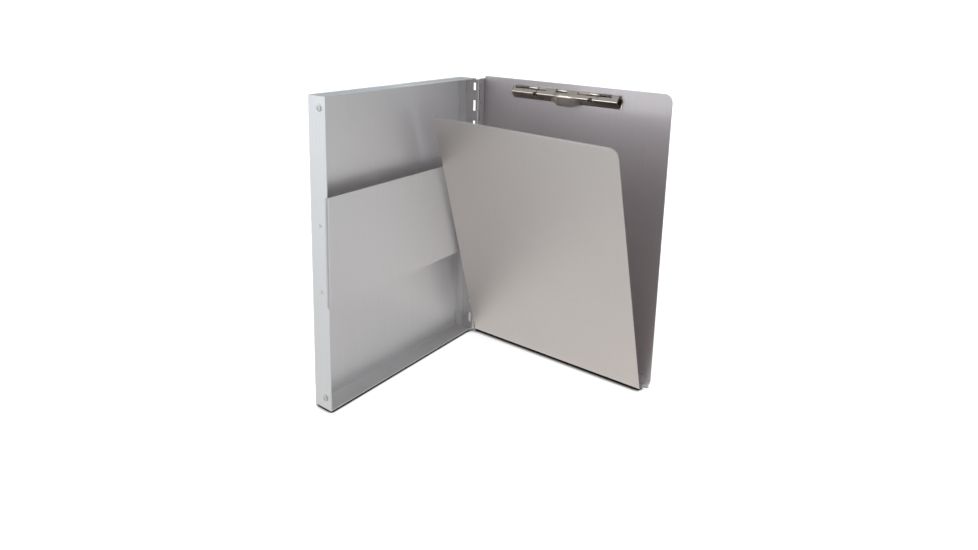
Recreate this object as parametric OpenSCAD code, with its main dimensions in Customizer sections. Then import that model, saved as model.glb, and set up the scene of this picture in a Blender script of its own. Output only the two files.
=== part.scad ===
// Side-opening storage clipboard box: a shallow aluminium tray for loose forms,
// a cover hinged along one long side like a book, a sprung writing plate standing
// off the cover, and a low spring clip across the head of the cover.
// The box stands on its short edge with the cover a quarter turn open.
// Everything is placed from the hinge axis; the tray runs along -X, the cover
// along -Y, and in_part_frame() moves the whole box to its own origin.

/* [Tray] */
// Outer width of the tray, spine to free side
tray_w = 238; // [180:1:300]
// Outer height of the tray
tray_h = 330; // [300:1:360]
// Outer depth of the tray, back to rim
tray_depth = 25.4; // [18:0.1:45]
// Thickness of the tray and cover sheet
sheet_t = 1.0; // [0.6:0.1:1.2]
// Outside radius of the bends along the back
bend_r = 1.8; // [1.3:0.1:3]
// Height and width of the riveted corner tabs
corner_tab = 18; // [14:1:24]
// Distance of the corner rivets from the short ends
corner_rivet_end = 12; // [8:0.5:14]
// Distance of the corner rivets behind the rim
corner_rivet_back = 8.5; // [7:0.5:12]

/* [Retaining strap] */
// Height of the strap's lower edge
strap_z = 115; // [60:1:150]
// Width of the strap, measured up the tray
strap_w = 115; // [40:1:140]
// Outside radius of the bend at the free side
strap_bend_r = 2.6; // [2:0.1:3]
// Depth of the strap's end flanges
strap_flange = 18; // [14:0.5:20]

/* [Hinge] */
// Radius of the hinge pin
pin_r = 1.2; // [0.9:0.05:1.4]
// Running clearance of the cover's knuckles on the pin
pin_clearance = 0.05; // [0.02:0.01:0.1]
// Thickness of the hinge leaves
leaf_t = 0.9; // [0.7:0.05:1]
// Length of one full knuckle
knuckle_l = 12.7; // [10:0.1:16]
// Length of the short knuckle at the head of the tray's leaf
head_knuckle_l = 4.1; // [3:0.1:8]
// Length of the first knuckle on the cover's leaf
first_cover_knuckle_l = 8.9; // [6:0.1:12]
// Width of the tray's leaf from the axis
tray_leaf_w = 15.2; // [14:0.1:18]
// Width of the cover's leaf from the axis
cover_leaf_w = 7.6; // [7:0.1:9]
// Set-back of the spine wall's edge from the rim, beside the knuckles
spine_setback = 3.0; // [2:0.1:4]

/* [Cover] */
// How far the cover's free edge passes the tray, as a finger lip
cover_lip = 3.0; // [0:0.5:8]
// How far the cover's head passes the tray
cover_head = 2.5; // [0:0.5:8]
// Height of the cover's inner face above the hinge axis when shut
cover_rise = 12.7; // [12:0.1:16]
// Radius of the two free corners
cover_corner_r = 9; // [4:0.5:15]
// How far the spine flange stops short of the tray's head
flange_short = 0.5; // [0.3:0.1:5]

/* [Writing plate] */
// Margin left between the writing plate and the cover's free edge
plate_margin = 8.2; // [4:0.1:20]
// Gap left between the shut plate's head and the clip's thumb tab
plate_head_gap = 0.8; // [0.6:0.1:20]
// Thickness of the writing plate
plate_t = 0.8; // [0.6:0.05:1]
// Distance of the writing plate from the cover at its foot
plate_standoff = 9; // [7:0.1:9.4]
// Lean of the free plate away from the cover, in degrees
plate_lean = 17.8; // [5:0.1:25]
// Radius of the plate's outer head corner
plate_corner_r = 9.5; // [3:0.5:15]
// Height of the flange that fixes the foot to the cover
foot_flange_h = 13; // [10:0.5:18]

/* [Clip] */
// Length of the clip's base strip
clip_base_l = 142.5; // [136:0.5:160]
// How far the base strip passes each end of the jaw
clip_base_end = 3; // [0.5:0.5:5]
// Distance from each end of the jaw to the middle of the nearest curl of the base
curl_end = 29.2; // [26:0.1:32]
// Distance of the clip's middle from the spine
clip_mid = 115; // [90:0.5:124]
// Distance of the hinge rod below the cover's head
clip_rod_drop = 8.2; // [7:0.1:12]
// Thickness of the clip's sprung strip
clip_t = 0.8; // [0.6:0.05:0.9]
// Radius of the clip's rod
clip_rod_r = 0.9; // [0.7:0.05:0.9]
// Outside radius of the curls round the rod
clip_curl_r = 1.75; // [1.7:0.05:1.9]
// Height of the jaw's ridge above the cover
ridge_rise = 8.4; // [7:0.1:10]
// Distance of the ridge below the rod
ridge_drop = 5.6; // [4.5:0.1:6.5]
// Distance of the gripping edge below the rod
lip_drop = 13.4; // [12:0.1:14.5]
// Width of the thumb tab
tab_w = 31; // [20:1:36]
// Distance of the thumb tab's middle from the clip's middle
tab_offset = 4; // [0:0.5:5]
// Distance of the thumb tab's lower edge below the rod
tab_drop = 16.6; // [15:0.1:17]
// Radius of the access holes in the jaw over the clip's rivets
access_hole_r = 3.0; // [2.5:0.1:3.3]
// Distance between the clip's two rivets
clip_rivet_pitch = 71.5; // [60:0.5:72]

/* [Hidden] */
$fn = 64;

// A sliver of overlap, how far a cut passes a face, a drill that clears any stack,
// and more than the clip's whole section
eps = 0.01;
over = 1;
drill_l = 8;
big = 30;
rivet_clearance = 0.05;

// A number of values evenly from one to another
function spread(a, b, count) = [for (i = [0:count - 1]) a + (b - a) * i / (count - 1)];

// Hinge: the barrel is centred on the Z axis
leaf_gap = 0.25;
barrel_r = leaf_gap + sheet_t + leaf_t;
knuckle_gap = 0.2;
notch_clearance = 0.1;
barrel_clearance = 0.45;
rim_clearance = 0.35;
rim_y = barrel_r + rim_clearance;

// Tray: outer faces, measured from the hinge axis
spine_x = -leaf_gap;
free_x = spine_x - tray_w;
back_y = rim_y + tray_depth;
spine_edge_y = rim_y + spine_setback;
spine_end_h = 3.5;
tab_setback = 2;
tab_leaf_gap = 0.8;
strap_step = 0.2;
strap_notch = [0.3, 0.5];

// Hinge ends fit between the tray's short walls
hinge_end_clearance = 0.3;
hinge_top = tray_h - sheet_t - hinge_end_clearance;
hinge_bottom = sheet_t + hinge_end_clearance;
pin_stub = 0.2;
full_top = hinge_top - head_knuckle_l - first_cover_knuckle_l;
least_knuckle_l = 4;
full_count = 2 * floor((full_top - hinge_bottom - least_knuckle_l) / knuckle_l / 2);

// Cover: standing a quarter turn open, its inner face looks along -X
cover_w = tray_w + cover_lip;
cover_h = tray_h + cover_head;
cover_in_x = cover_rise;
cover_out_x = cover_in_x + sheet_t;
cover_near_y = -leaf_gap;
cover_far_y = cover_near_y - cover_w;
flange_edge_x = barrel_r + barrel_clearance;
flange_top = tray_h - flange_short;

// Clip, drawn in its own section: n is the height above the cover's inner face
curl_gap = 0.35;
rod_n = clip_curl_r + curl_gap;
rod_z = cover_h - clip_rod_drop;
ridge = [ridge_rise, rod_z - ridge_drop];
base_drop = 12.4;
lip_gap = 0.35;
lip = [clip_t + lip_gap + clip_t, rod_z - lip_drop];
curl_clearance = 0.05;
curl_bore_r = clip_rod_r + curl_clearance;
// Thumb tab: where it leaves the slope, then its bends measured from the ridge
tab_root_l = 2.4;
tab_knee = [1.6, -1.2];
tab_knee_drop = 0.3;
tab_shin = [2.2, -5.5];
tab_toe_n = 1.2;
finger_w = 12;
rod_end_gap = 0.3;
clip_jaw_l = clip_base_l - 2 * clip_base_end;
finger_pitch = clip_jaw_l / 2 - curl_end;
finger_offset = 1.2;
finger_mid = clip_mid - finger_offset;
slot_edge_n = 4.3;
tab_mid = clip_mid + tab_offset;
rivet_below_ridge = 0.9;
clip_rivet_z = ridge[1] - rivet_below_ridge;
access_drill_l = 13;
clip_rivet_us = [clip_mid - clip_rivet_pitch / 2, clip_mid + clip_rivet_pitch / 2];
spring_r = 1.5;
spring_wire = 0.5;
spring_lift = 0.05;
back_leg_l = 6.8;
back_leg_start = 1.2;
jaw_leg_l = 5.2;
jaw_leg_start = 1.1;
jaw_leg_gap = 0.1;

// Writing plate and its foot
bend_x = cover_in_x - plate_standoff;
foot_clear = 0.1;
bend_z = foot_clear + plate_t / 2;
plate_near_y = -flange_edge_x;
plate_w = plate_near_y - (cover_far_y + plate_margin);
plate_l = rod_z - tab_drop - plate_head_gap - bend_z;
foot_t = 0.9;
foot_gap = 0.35;
plate_near_corner_r = 3;

// Rivets
rivet_shank_r = 1.5;
rivet_head_r = 3.2;
rivet_head_h = 0.8;
tail_r = 2.4;
tail_h = 0.6;
strap_flange_gap = 0.05;
strap_head_lip = 0.4;
strap_head_h = 0.25;
strap_rivet_share = [0.13, 0.74];
strap_rivet_back = 10.5;
corner_zs = [corner_rivet_end, tray_h - corner_rivet_end];
strap_rivet_zs = [for (share = strap_rivet_share) strap_z + share * strap_w];
strap_rivet_y = rim_y + strap_rivet_back;
hinge_rivet_r = 1.1;
hinge_tail_r = 1.75;
tray_leaf_rivet_y = 10.3;
leaf_rivet_end = 14;
leaf_rivet_gap = 12;
tray_leaf_rivet_zs = concat(
    spread(hinge_bottom + leaf_rivet_end, strap_z - leaf_rivet_gap, 3),
    spread(strap_z + strap_w + leaf_rivet_gap, hinge_top - leaf_rivet_end, 3));
cover_leaf_rivet_edge = 0.9;
cover_leaf_rivet_x = flange_edge_x + hinge_tail_r + cover_leaf_rivet_edge;
cover_leaf_rivet_zs = spread(hinge_bottom + 2 * leaf_rivet_end, hinge_top - 2 * leaf_rivet_end, 6);
foot_rivet_end = 23;
foot_rivet_ys = spread(plate_near_y - foot_rivet_end, plate_near_y - plate_w + foot_rivet_end, 4);
foot_rivet_z = 7.5;

// The box's own origin: middle of its footprint, on the surface it stands on
box_x0 = free_x - rivet_head_h;
box_x1 = cover_out_x + rivet_head_h;
box_y0 = cover_far_y;
box_y1 = back_y;
origin_x = (box_x0 + box_x1) / 2;
origin_y = (box_y0 + box_y1) / 2;

aluminium = [0.80, 0.81, 0.82];
plate_metal = [0.72, 0.71, 0.69];
nickel = [0.62, 0.60, 0.58];
steel = [0.55, 0.55, 0.56];

module in_part_frame() {
    translate([-origin_x, -origin_y, 0]) children();
}

// A box from one corner to the opposite one
module span(a, b) {
    translate([min(a[0], b[0]), min(a[1], b[1]), min(a[2], b[2])])
        cube([abs(b[0] - a[0]), abs(b[1] - a[1]), abs(b[2] - a[2])]);
}

// A round bar along +X, +Y or +Z from a point
module bar_x(p, r, l) {
    translate(p) rotate([0, 90, 0]) cylinder(r = r, h = l);
}

module bar_y(p, r, l) {
    translate(p) rotate([-90, 0, 0]) cylinder(r = r, h = l);
}

// Rivet holes along X and Y through whatever lies round a point
module drill_x(x, y, z, r) {
    bar_x([x - drill_l / 2, y, z], r + rivet_clearance, drill_l);
}

module drill_y(x, y, z, r) {
    bar_y([x, y - drill_l / 2, z], r + rivet_clearance, drill_l);
}

// A rivet along +Z: domed head below z = 0, shank, and a flat tail above the grip
module rivet(shank_r, head_r, head_h, grip, set_r, set_h) {
    dome_r = (head_r * head_r + head_h * head_h) / (2 * head_h);
    rotate_extrude()
        difference() {
            translate([0, dome_r - head_h]) circle(r = dome_r);
            translate([-2 * dome_r, 0]) square([4 * dome_r, 4 * dome_r]);
            translate([-4 * dome_r, -dome_r]) square([4 * dome_r, 2 * dome_r]);
        }
    translate([0, 0, -eps]) cylinder(r = shank_r, h = grip + 2 * eps);
    translate([0, 0, grip]) cylinder(r = set_r, h = set_h);
}

// A flush rivet along +Z: the shank starts level with z = 0
module flush_rivet(shank_r, grip, set_r, set_h) {
    cylinder(r = shank_r, h = grip + eps);
    translate([0, 0, grip]) cylinder(r = set_r, h = set_h);
}

// A rectangle with its two far corners (high X) rounded
module half_rounded(l, w, r_low, r_high) {
    difference() {
        square([l, w]);
        translate([l - r_low, 0]) corner_waste(r_low);
        translate([l - r_high, w]) mirror([0, 1]) corner_waste(r_high);
    }
}

module corner_waste(r) {
    difference() {
        translate([0, -eps]) square([r + eps, r + eps]);
        translate([0, r]) circle(r = r);
    }
}

// Outline of the tray's section, closed at the high-Y side, with two round bends
module pan_section(x0, x1, y0, y1, r) {
    translate([x0, y0]) square([x1 - x0, y1 - y0 - r]);
    translate([x0 + r, y0]) square([x1 - x0 - 2 * r, y1 - y0]);
    translate([x0 + r, y1 - r]) circle(r = r);
    translate([x1 - r, y1 - r]) circle(r = r);
}

// A block with its four back edges rounded, open side at y0
module pan_block(x0, x1, y0, y1, z0, z1, r) {
    intersection() {
        translate([0, 0, z0]) linear_extrude(height = z1 - z0) pan_section(x0, x1, y0, y1, r);
        translate([x0, 0, 0]) rotate([0, 90, 0]) linear_extrude(height = x1 - x0)
            pan_section(-z1, -z0, y0, y1, r);
    }
}

module tray_pan() {
    color(aluminium) in_part_frame() difference() {
        union() {
            difference() {
                pan_block(free_x, spine_x, rim_y, back_y, 0, tray_h, bend_r);
                pan_block(free_x + sheet_t, spine_x - sheet_t, rim_y - over, back_y - sheet_t,
                          sheet_t, tray_h - sheet_t, bend_r - sheet_t);
            }
            for (z = [sheet_t, tray_h - sheet_t - corner_tab]) {
                span([free_x + sheet_t, rim_y + tab_setback, z],
                     [free_x + 2 * sheet_t, back_y - bend_r, z + corner_tab]);
                span([spine_x - sheet_t, tray_leaf_w + tab_leaf_gap, z],
                     [spine_x - 2 * sheet_t, back_y - bend_r, z + corner_tab]);
            }
        }
        span([spine_x + over, rim_y - over, spine_end_h],
             [spine_x - sheet_t - eps, spine_edge_y, tray_h - spine_end_h]);
        span([free_x - over, rim_y - over, strap_z - strap_notch[0]],
             [free_x + sheet_t + eps, rim_y + strap_bend_r + strap_notch[1],
              strap_z + strap_w + strap_notch[0]]);
        for (z = corner_zs)
            drill_x(free_x, rim_y + corner_rivet_back, z, rivet_shank_r);
        for (z = strap_rivet_zs) {
            drill_x(free_x, strap_rivet_y, z, rivet_shank_r);
            drill_x(spine_x, strap_rivet_y, z, rivet_shank_r);
        }
        for (z = tray_leaf_rivet_zs)
            drill_x(spine_x, tray_leaf_rivet_y, z, hinge_rivet_r);
    }
}

module tray_corner_rivets() {
    color(steel) in_part_frame()
        for (z = corner_zs)
            translate([free_x, rim_y + corner_rivet_back, z]) rotate([0, 90, 0])
                rivet(rivet_shank_r, rivet_head_r, rivet_head_h, 2 * sheet_t, tail_r, tail_h);
}

// A rectangle from p to q with its corner at p rounded
module one_round_corner(p, q, r) {
    translate([p[0] + r, p[1]]) square([q[0] - p[0] - r, q[1] - p[1]]);
    translate([p[0], p[1] + r]) square([q[0] - p[0], q[1] - p[1] - r]);
    translate([p[0] + r, p[1] + r]) circle(r = r);
}

// Section of the strap: face on the rim plane, a round bend flush with the free
// wall that steps inside it, and a flange beside the hinge leaf at the spine
module strap_section() {
    near = [free_x, rim_y];
    far = [spine_x - sheet_t - leaf_t - strap_flange_gap, rim_y + strap_flange];
    step_y = rim_y + strap_bend_r + strap_step;
    flange_x = free_x + sheet_t + strap_flange_gap;
    difference() {
        one_round_corner(near, far, strap_bend_r);
        one_round_corner(near + [sheet_t, sheet_t], far + [-sheet_t, over], strap_bend_r - sheet_t);
        translate([free_x - over, step_y]) square([over + sheet_t, strap_flange]);
    }
    translate([free_x + sheet_t / 2, step_y - sheet_t])
        square([flange_x + sheet_t / 2 - free_x, sheet_t]);
    translate([flange_x, step_y - sheet_t])
        square([sheet_t, far[1] - step_y + sheet_t]);
}

module retaining_strap() {
    color(aluminium) in_part_frame() difference() {
        translate([0, 0, strap_z]) linear_extrude(height = strap_w) strap_section();
        for (z = strap_rivet_zs) {
            drill_x(free_x, strap_rivet_y, z, rivet_shank_r);
            drill_x(spine_x, strap_rivet_y, z, rivet_shank_r);
        }
    }
}

module strap_rivets() {
    color(aluminium) in_part_frame()
        for (z = strap_rivet_zs) {
            translate([free_x, strap_rivet_y, z]) rotate([0, 90, 0])
                rivet(rivet_shank_r, rivet_shank_r + strap_head_lip, strap_head_h,
                      2 * sheet_t + strap_flange_gap, tail_r, tail_h);
            translate([spine_x, strap_rivet_y, z]) rotate([0, -90, 0])
                flush_rivet(rivet_shank_r, 2 * sheet_t + leaf_t + strap_flange_gap, tail_r, tail_h);
        }
}

// Foot and length of each knuckle, tray's leaf first, then the cover's
tray_knuckles = concat(
    [[hinge_top - head_knuckle_l, head_knuckle_l]],
    [for (i = [1:2:full_count]) [full_top - i * knuckle_l, knuckle_l]],
    [[hinge_bottom, full_top - full_count * knuckle_l - hinge_bottom]]);
cover_knuckles = concat(
    [[full_top, first_cover_knuckle_l]],
    [for (i = [2:2:full_count]) [full_top - i * knuckle_l, knuckle_l]]);

// Sleeves along the axis for a list of knuckles
module knuckle_sleeves(knuckles) {
    for (k = knuckles)
        translate([0, 0, k[0] + knuckle_gap]) cylinder(r = barrel_r, h = k[1] - 2 * knuckle_gap);
}

// Room cut beside the other leaf's knuckles, out to a distance along +Y
module knuckle_notches(knuckles, reach) {
    for (k = knuckles)
        span([-2 * barrel_r, -2 * barrel_r, k[0] - notch_clearance],
             [2 * barrel_r, reach, k[0] + k[1] + notch_clearance]);
}

module hinge_leaf_tray() {
    color(aluminium) in_part_frame() difference() {
        union() {
            knuckle_sleeves(tray_knuckles);
            difference() {
                span([-barrel_r, 0, hinge_bottom + knuckle_gap],
                     [-barrel_r + leaf_t, tray_leaf_w, hinge_top - knuckle_gap]);
                knuckle_notches(cover_knuckles, spine_edge_y);
            }
        }
        translate([0, 0, -over]) cylinder(r = pin_r, h = tray_h + 2 * over);
        for (z = tray_leaf_rivet_zs)
            drill_x(-barrel_r, tray_leaf_rivet_y, z, hinge_rivet_r);
        for (z = strap_rivet_zs)
            drill_x(-barrel_r, strap_rivet_y, z, rivet_shank_r);
    }
}

module hinge_leaf_cover() {
    color(aluminium) in_part_frame() difference() {
        union() {
            knuckle_sleeves(cover_knuckles);
            difference() {
                span([0, -barrel_r, cover_knuckles[len(cover_knuckles) - 1][0] + knuckle_gap],
                     [cover_leaf_w, -barrel_r + leaf_t, hinge_top - head_knuckle_l - knuckle_gap]);
                mirror([1, -1, 0]) knuckle_notches(tray_knuckles, flange_edge_x);
            }
        }
        translate([0, 0, -over]) cylinder(r = pin_r + pin_clearance, h = tray_h + 2 * over);
        for (z = cover_leaf_rivet_zs)
            drill_y(cover_leaf_rivet_x, -barrel_r, z, hinge_rivet_r);
    }
}

module hinge_pin() {
    color(steel) in_part_frame()
        translate([0, 0, hinge_bottom - pin_stub])
            cylinder(r = pin_r, h = hinge_top - hinge_bottom + 2 * pin_stub);
}

module hinge_rivets_tray() {
    color(aluminium) in_part_frame()
        for (z = tray_leaf_rivet_zs)
            translate([spine_x, tray_leaf_rivet_y, z]) rotate([0, -90, 0])
                flush_rivet(hinge_rivet_r, sheet_t + leaf_t, hinge_tail_r, tail_h);
}

module hinge_rivets_cover() {
    color(aluminium) in_part_frame()
        for (z = cover_leaf_rivet_zs)
            translate([cover_leaf_rivet_x, cover_near_y, z]) rotate([90, 0, 0])
                flush_rivet(hinge_rivet_r, sheet_t + leaf_t, hinge_tail_r, tail_h);
}

module cover_panel() {
    r = bend_r;
    color(aluminium) in_part_frame() difference() {
        union() {
            translate([cover_in_x, cover_near_y - r + eps, 0]) rotate([90, 0, 90])
                linear_extrude(height = sheet_t) mirror([1, 0]) cover_outline(cover_w - r + eps);
            linear_extrude(height = flange_top) spine_bend(r);
        }
        for (z = cover_leaf_rivet_zs)
            drill_y(cover_leaf_rivet_x, cover_near_y, z, hinge_rivet_r);
        for (y = foot_rivet_ys)
            drill_x(cover_in_x, y, foot_rivet_z, hinge_rivet_r);
        for (u = clip_rivet_us)
            drill_x(cover_in_x, -u, clip_rivet_z, rivet_shank_r);
    }
}

// Face of the cover with round corners on its free edge
module cover_outline(w) {
    half_rounded(w, cover_h, cover_corner_r, cover_corner_r);
}

// Spine flange with its bend, seen from above
module spine_bend(r) {
    translate([flange_edge_x, cover_near_y - sheet_t])
        square([cover_out_x - r - flange_edge_x, sheet_t]);
    translate([cover_out_x - r, cover_near_y - r]) difference() {
        circle(r = r);
        circle(r = r - sheet_t);
        translate([-2 * r, -2 * r]) square([2 * r, 4 * r]);
        translate([-2 * r, -2 * r]) square([4 * r, 2 * r]);
    }
}

module plate_foot() {
    color(plate_metal) in_part_frame() difference() {
        union() {
            span([bend_x + plate_t / 2 + foot_gap, plate_near_y, 0],
                 [cover_in_x, plate_near_y - plate_w, foot_t]);
            span([cover_in_x - foot_t, plate_near_y, 0],
                 [cover_in_x, plate_near_y - plate_w, foot_flange_h]);
        }
        for (y = foot_rivet_ys)
            drill_x(cover_in_x, y, foot_rivet_z, hinge_rivet_r);
    }
}

module foot_rivets() {
    color(aluminium) in_part_frame()
        for (y = foot_rivet_ys)
            translate([cover_out_x, y, foot_rivet_z]) rotate([0, -90, 0])
                flush_rivet(hinge_rivet_r, sheet_t + foot_t, hinge_tail_r, tail_h);
}

// The plate lies along its own +X from the bend, thickness centred on its plane
module writing_plate() {
    color(plate_metal) in_part_frame()
        translate([bend_x, plate_near_y, bend_z]) rotate([0, -90 - plate_lean, 0])
            mirror([0, 1, 0]) {
                translate([0, 0, -plate_t / 2]) linear_extrude(height = plate_t)
                    half_rounded(plate_l, plate_w, plate_near_corner_r, plate_corner_r);
                bar_y([0, 0, 0], plate_t / 2, plate_w);
            }
}

// Puts a section drawn as (n, z) on the cover, from u0 to u1 along it
module along_cover(u0, u1) {
    translate([cover_in_x, -u1, 0]) mirror([1, 0, 0])
        translate([0, u1 - u0, 0]) rotate([90, 0, 0]) linear_extrude(height = u1 - u0) children();
}

// Left edges of the base's three curls, as distances from the spine
base_fingers = [for (i = [-1:1]) finger_mid - finger_w / 2 + i * finger_pitch];
// Stretches of the jaw that curl round the rod
jaw_u0 = clip_mid - clip_jaw_l / 2;
jaw_u1 = clip_mid + clip_jaw_l / 2;
near_end_curl_l = 3.5;
far_end_curl_l = 8.5;
open_seam = 3;
tight_seam = 0.5;
wide_slot = 13.5;
jaw_fingers = [[jaw_u0, jaw_u0 + near_end_curl_l],
               [base_fingers[1] - open_seam - finger_w, base_fingers[1] - open_seam],
               [base_fingers[1] + finger_w + tight_seam, base_fingers[2] - wide_slot],
               [jaw_u1 - far_end_curl_l, jaw_u1]];

module curl() {
    difference() {
        translate([rod_n, rod_z]) circle(r = clip_curl_r);
        translate([rod_n, rod_z]) circle(r = curl_bore_r);
    }
}

module clip_base() {
    color(nickel) in_part_frame() difference() {
        union() {
            along_cover(clip_mid - clip_base_l / 2, clip_mid + clip_base_l / 2)
                translate([0, rod_z - base_drop])
                    square([clip_t, base_drop - clip_curl_r - curl_gap]);
            for (u = base_fingers)
                along_cover(u, u + finger_w) {
                    translate([0, rod_z - base_drop]) square([clip_t, base_drop]);
                    curl();
                }
        }
        for (u = clip_rivet_us)
            drill_x(cover_in_x, -u, clip_rivet_z, rivet_shank_r);
        bar_y([cover_in_x - rod_n, -cover_w, rod_z], curl_bore_r, cover_w);
    }
}

module clip_rod() {
    color(steel) in_part_frame()
        bar_y([cover_in_x - rod_n, -jaw_u1 + rod_end_gap, rod_z], clip_rod_r,
              clip_jaw_l - 2 * rod_end_gap);
}

// Angle of the line from the ridge that just touches the curl from outside
ridge_to_rod = [rod_n - ridge[0], rod_z - ridge[1]];
ridge_reach = norm(ridge_to_rod);
touch_angle = atan2(ridge_to_rod[1], ridge_to_rod[0]) - asin(clip_curl_r / ridge_reach);
touch_reach = sqrt(ridge_reach * ridge_reach - clip_curl_r * clip_curl_r);
lip_angle = atan2(lip[1] - ridge[1], lip[0] - ridge[0]);
lip_reach = norm(lip - ridge);

function along(p, angle, d) = p + d * [cos(angle), sin(angle)];

// A straight strip of sheet from p, on the inner side of its outer face
module strip(p, angle, l, inward, t = clip_t) {
    polygon([p, along(p, angle, l),
             along(along(p, angle, l), angle + inward, t),
             along(p, angle + inward, t)]);
}

// Folded jaw: slope from the rod to the ridge, then back to the gripping edge
module jaw_section() {
    difference() {
        union() {
            strip(ridge, touch_angle, touch_reach, 90);
            strip(ridge, lip_angle, lip_reach, -90);
            polygon([ridge, along(ridge, touch_angle + 90, clip_t),
                     along(ridge, lip_angle - 90, clip_t)]);
        }
        translate([rod_n, rod_z]) circle(r = curl_bore_r);
    }
}

// Tongue that springs from the ridge and hangs in front of the gripping edge
module tab_section() {
    root = along(ridge, touch_angle, tab_root_l);
    knee = ridge + tab_knee;
    shin = ridge + tab_shin;
    toe = [ridge_rise + tab_toe_n, rod_z - tab_drop];
    polygon([root, knee, shin, toe, toe - [clip_t, 0], shin - [clip_t, 0],
             knee - [clip_t, tab_knee_drop], along(root, touch_angle + 90, clip_t)]);
}

module clip_jaw() {
    color(nickel) in_part_frame() difference() {
        union() {
            along_cover(jaw_u0, jaw_u1) difference() {
                jaw_section();
                translate([-big, rod_z - big]) square([big + slot_edge_n, 2 * big]);
            }
            along_cover(jaw_u0, jaw_u1) intersection() {
                jaw_section();
                translate([-big, rod_z - big]) square([big + slot_edge_n + eps, big - ridge_drop]);
            }
            for (f = jaw_fingers)
                along_cover(f[0], f[1]) {
                    jaw_section();
                    curl();
                }
            along_cover(tab_mid - tab_w / 2, tab_mid + tab_w / 2) tab_section();
        }
        for (u = clip_rivet_us)
            bar_x([cover_in_x - over - access_drill_l, -u, clip_rivet_z],
                  access_hole_r, access_drill_l);
    }
}

// A close-wound coil on the rod with one leg on the base and one under the jaw
module clip_spring(u0, u1) {
    along_cover(u0, u1) difference() {
        translate([rod_n, rod_z]) circle(r = spring_r);
        translate([rod_n, rod_z]) circle(r = curl_bore_r);
    }
    along_cover(u0, u0 + spring_wire)
        translate([clip_t + spring_lift, rod_z - back_leg_start - back_leg_l])
            square([spring_wire, back_leg_l]);
    along_cover(u1 - spring_wire, u1) {
        down = touch_angle - 180;
        under = clip_curl_r - clip_t - jaw_leg_gap;
        strip(along(along([rod_n, rod_z], touch_angle - 90, under), down, jaw_leg_start),
              down, jaw_leg_l, -90, spring_wire);
    }
}

module clip_spring_left() {
    color(steel) in_part_frame() clip_spring(jaw_fingers[0][1] + 2 * over, base_fingers[0] - over);
}

module clip_spring_right() {
    color(steel) in_part_frame()
        clip_spring(base_fingers[2] + finger_w + over, jaw_fingers[3][0] - over);
}

module clip_rivets() {
    color(steel) in_part_frame()
        for (u = clip_rivet_us)
            translate([cover_out_x, -u, clip_rivet_z])
                rotate([0, -90, 0])
                    rivet(rivet_shank_r, rivet_head_r, rivet_head_h, sheet_t + clip_t, tail_r, tail_h);
}

tray_pan();
tray_corner_rivets();
retaining_strap();
strap_rivets();
hinge_leaf_tray();
hinge_leaf_cover();
hinge_pin();
hinge_rivets_tray();
hinge_rivets_cover();
cover_panel();
plate_foot();
foot_rivets();
writing_plate();
clip_base();
clip_rod();
clip_jaw();
clip_spring_left();
clip_spring_right();
clip_rivets();
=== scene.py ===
# %% [markdown]
# # A storage clipboard box in sheet aluminium
# The real thing is folded, riveted and hinged from thin rolled sheet: a shallow
# tray for loose forms, a cover that opens like a book, a springy writing plate
# and a low nickel clip. The moving frame is already built, so this lesson dresses
# it: finishes first, then the pieces whose folds and wires deserve finer meshes.

import math

import bmesh
import bpy
import numpy as np
from mathutils import Matrix, Vector


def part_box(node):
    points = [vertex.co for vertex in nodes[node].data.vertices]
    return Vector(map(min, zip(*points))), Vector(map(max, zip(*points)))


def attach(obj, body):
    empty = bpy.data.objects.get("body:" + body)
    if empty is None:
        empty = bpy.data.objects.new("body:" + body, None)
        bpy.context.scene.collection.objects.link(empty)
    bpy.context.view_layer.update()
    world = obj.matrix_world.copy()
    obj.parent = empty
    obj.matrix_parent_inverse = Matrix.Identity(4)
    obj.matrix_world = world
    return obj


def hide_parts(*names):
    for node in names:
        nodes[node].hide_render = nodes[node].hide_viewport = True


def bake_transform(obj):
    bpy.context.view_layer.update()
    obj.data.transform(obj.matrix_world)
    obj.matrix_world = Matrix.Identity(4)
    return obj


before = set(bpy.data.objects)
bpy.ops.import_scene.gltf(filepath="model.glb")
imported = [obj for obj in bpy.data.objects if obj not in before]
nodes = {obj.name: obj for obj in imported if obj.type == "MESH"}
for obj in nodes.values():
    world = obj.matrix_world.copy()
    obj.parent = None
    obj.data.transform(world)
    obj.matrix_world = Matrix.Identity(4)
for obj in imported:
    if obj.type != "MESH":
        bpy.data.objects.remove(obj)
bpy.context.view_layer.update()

# %% [markdown]
# ## Measuring from the hinge pin
# A tinsmith lays the box out from its hinge, so the lesson does too. `at` takes
# millimetres from the foot of the hinge pin and gives metres in the box's frame,
# and `mm` goes the other way. On the open cover it is easier to think along the
# cover and out from its face, which `on_cover` does.

# %% Millimetres from the hinge pin
PIN_X = 112.275
PIN_Y = 106.675
COVER_FACE = 12.7        # from the pin to the cover's inner face


def at(x, y, z):
    """Metres in the box's frame for millimetres from the pin's foot."""
    return Vector(((x + PIN_X) / 1000, (y + PIN_Y) / 1000, z / 1000))


def mm(point):
    """Millimetres from the pin's foot for a place in the box's frame."""
    return point[0] * 1000 - PIN_X, point[1] * 1000 - PIN_Y, point[2] * 1000


def on_cover(u, n, z):
    """u along the cover from the spine, n out from its inner face, z up."""
    return at(COVER_FACE - n, -u, z)


print("pin at", [round(v, 5) for v in at(0, 0, 0)], "m")

# %% [markdown]
# ## The camera
# A 25 mm lens stands in front of the open book, a hand's breadth above its head,
# and looks a little down. Looking nearly level and moving the box up into the frame
# with the lens's shift keeps its upright edges nearly upright, as an architect's
# camera does. Tilting the camera further would frame the box too, but its sides
# would lean.

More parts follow.
